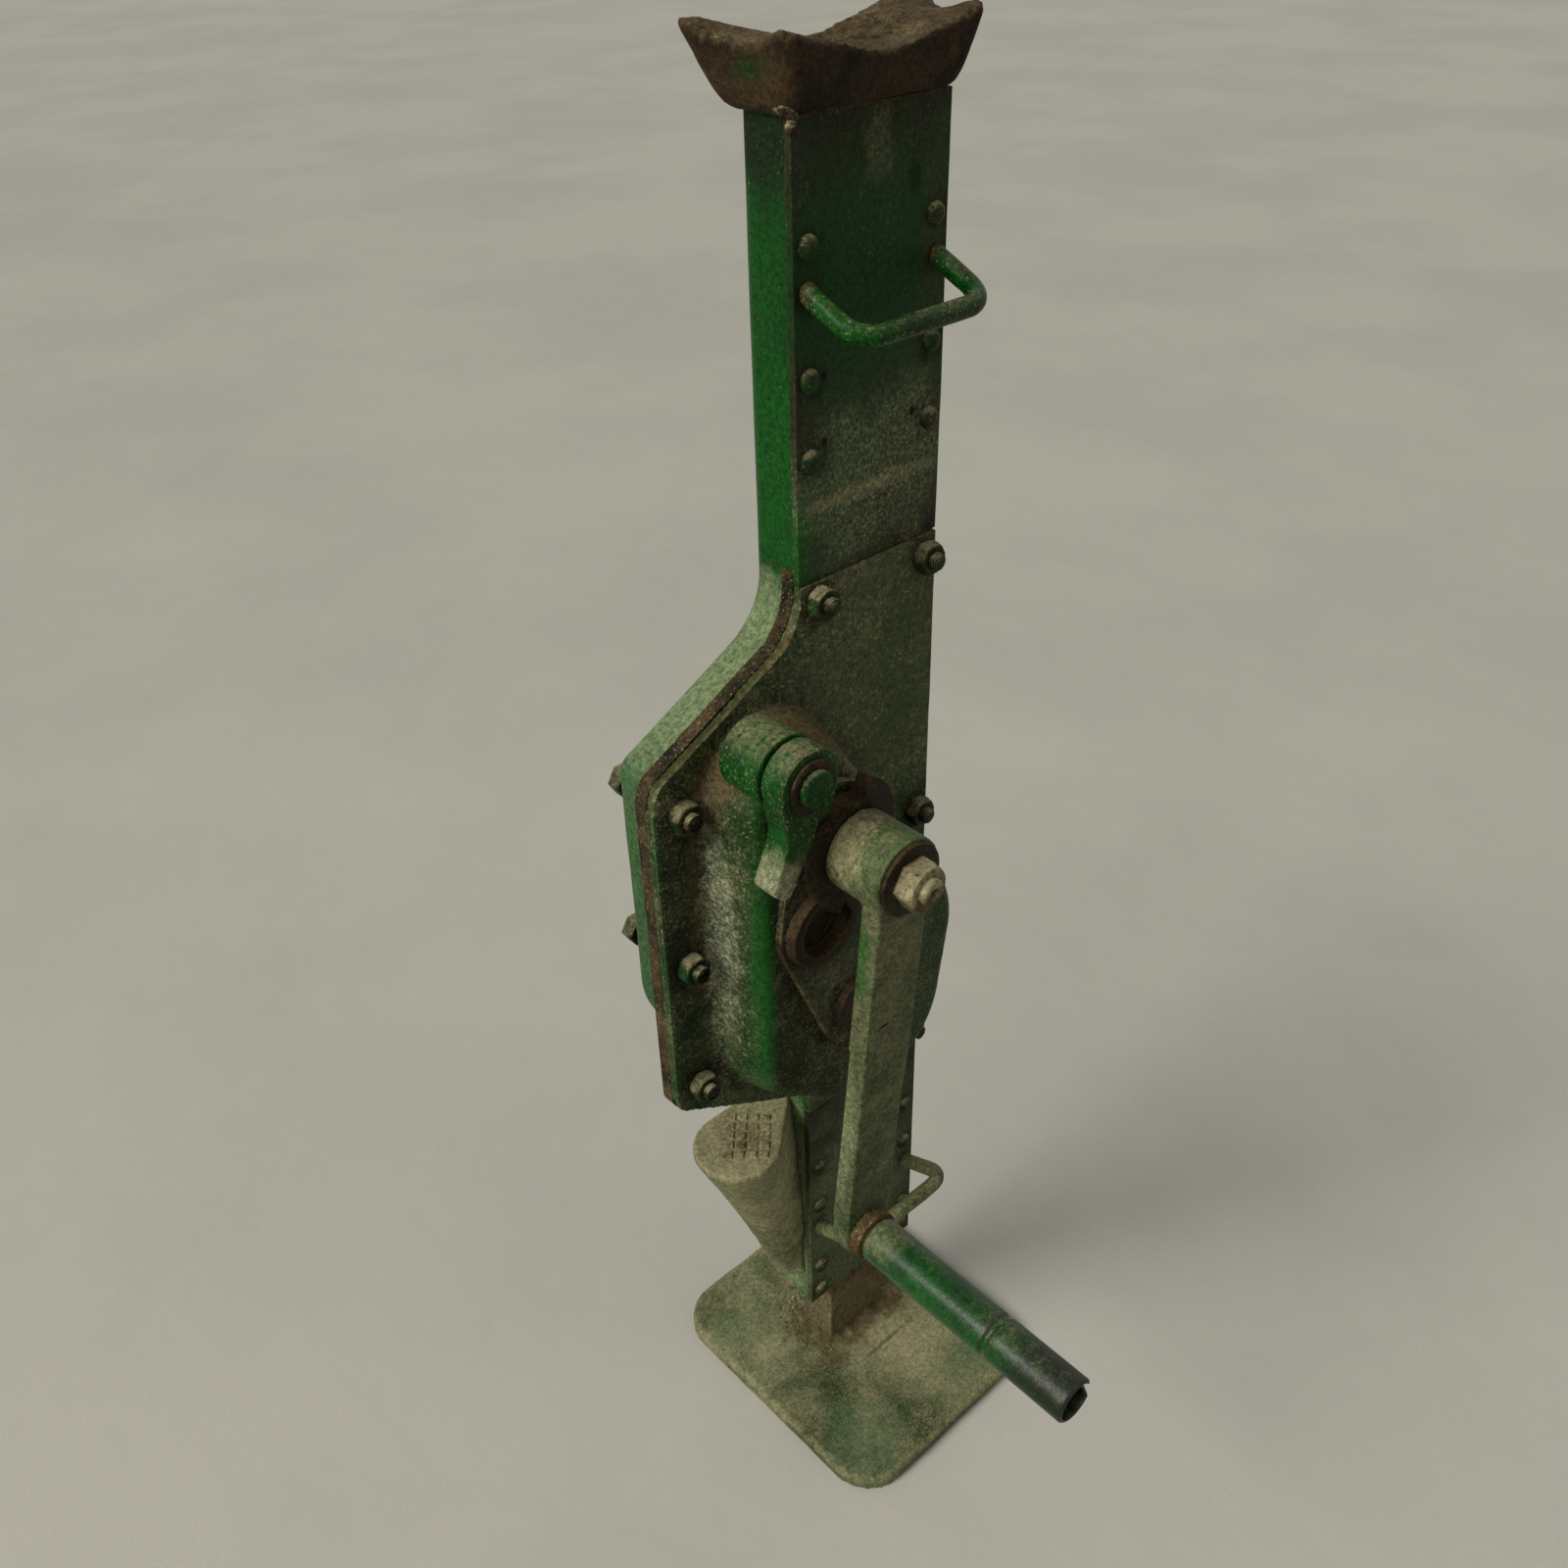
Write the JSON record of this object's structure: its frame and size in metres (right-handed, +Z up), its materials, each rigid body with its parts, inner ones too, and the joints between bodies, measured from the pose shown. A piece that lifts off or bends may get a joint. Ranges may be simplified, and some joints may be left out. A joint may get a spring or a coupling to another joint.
{
  "type": "rack jack",
  "caption": "Hand-cranked rack-and-pinion steel lifting jack: a housing with a horned head and a side claw climbs a toothed rack fixed on a foot plate.",
  "frame": {"origin": "centre of the foot plate's underside", "axes": "+Z up along the rack, -Y out of the crank side, -X towards the claw and the gear flare"},
  "size_m": [0.1925, 0.283, 0.722],
  "materials": {
    "shell_paint": "satin green paint",
    "plate_paint": "weathered dark green paint",
    "cover_paint": "weathered dark green paint",
    "frame_paint": "worn paint on rust",
    "bearing_paint": "weathered dark green paint",
    "head_iron": "rusty brown casting",
    "claw_paint": "dusty green paint",
    "foot_paint": "dusty green paint",
    "rack_steel": "rusty brown steel",
    "gear_steel": "oiled steel",
    "bush_iron": "dark iron",
    "guide_steel": "plain steel",
    "fastener_steel": "painted and worn steel",
    "handle_paint": "green paint",
    "crank_paint": "worn green paint",
    "nut_steel": "dusty steel",
    "grip_paint": "green paint",
    "pawl_paint": "worn green paint"
  },
  "bodies": {
    "base": {"foot_plate": "foot_paint", "rack": "rack_steel"},
    "housing": {"housing_shell": "shell_paint", "flare_frame": "frame_paint", "upper_plate": "plate_paint", "lower_plate": "plate_paint", "gear_cover": "cover_paint", "bearing_plate": "bearing_paint", "front_bushes": "bush_iron", "rear_bushes": "bush_iron", "right_guide": "guide_steel", "left_guide_upper": "guide_steel", "left_guide_lower": "guide_steel", "plate_rivets": "fastener_steel", "cover_studs": "fastener_steel", "cover_bolts": "fastener_steel", "cover_nuts": "fastener_steel", "horn_head": "head_iron", "claw": "claw_paint", "upper_handle": "handle_paint", "lower_handle": "handle_paint", "pawl_boss": "pawl_paint", "pawl_washer": "bush_iron"},
    "main": {"main_shaft": "gear_steel", "main_gear": "gear_steel"},
    "second": {"second_shaft": "gear_steel", "second_gear": "gear_steel"},
    "crank": {"crank_shaft": "gear_steel", "ratchet_wheel": "bush_iron", "crank_arm": "crank_paint", "crank_washer": "bush_iron", "crank_nut": "nut_steel", "grip_spindle": "bush_iron"},
    "grip": {"grip_sleeve": "grip_paint"},
    "pawl": {"pawl": "pawl_paint"}
  },
  "joints": [
    {"name": "lift", "type": "slide", "parent": "base", "child": "housing", "axis": [0, 0, 1], "range_m": [0, 0.33]},
    {"name": "crank_turn", "type": "hinge", "parent": "housing", "child": "crank", "pos_m": [-0.0533, -0.08, 0.4294], "axis": [0, -1, 0], "range_deg": [-6932.79, 0]},
    {"name": "second_turn", "type": "hinge", "parent": "housing", "child": "second", "pos_m": [-0.061, 0, 0.38506], "axis": [0, -1, 0], "continuous": true},
    {"name": "main_turn", "type": "hinge", "parent": "housing", "child": "main", "pos_m": [-0.0358, 0, 0.32569], "axis": [0, -1, 0], "continuous": true},
    {"name": "grip_turn", "type": "hinge", "parent": "crank", "child": "grip", "pos_m": [-0.07368, -0.1, 0.23547], "axis": [0, -1, 0], "continuous": true},
    {"name": "pawl_swing", "type": "hinge", "parent": "housing", "child": "pawl", "pos_m": [-0.08, -0.045, 0.4735], "axis": [0, 1, 0], "range_deg": [0, 40]}
  ],
  "couplings": [
    {"joint": "lift", "follows": "crank_turn", "m_per_rad": -0.0027273},
    {"joint": "second_turn", "follows": "crank_turn", "ratio": -0.42857},
    {"joint": "main_turn", "follows": "crank_turn", "ratio": 0.12987}
  ]
}
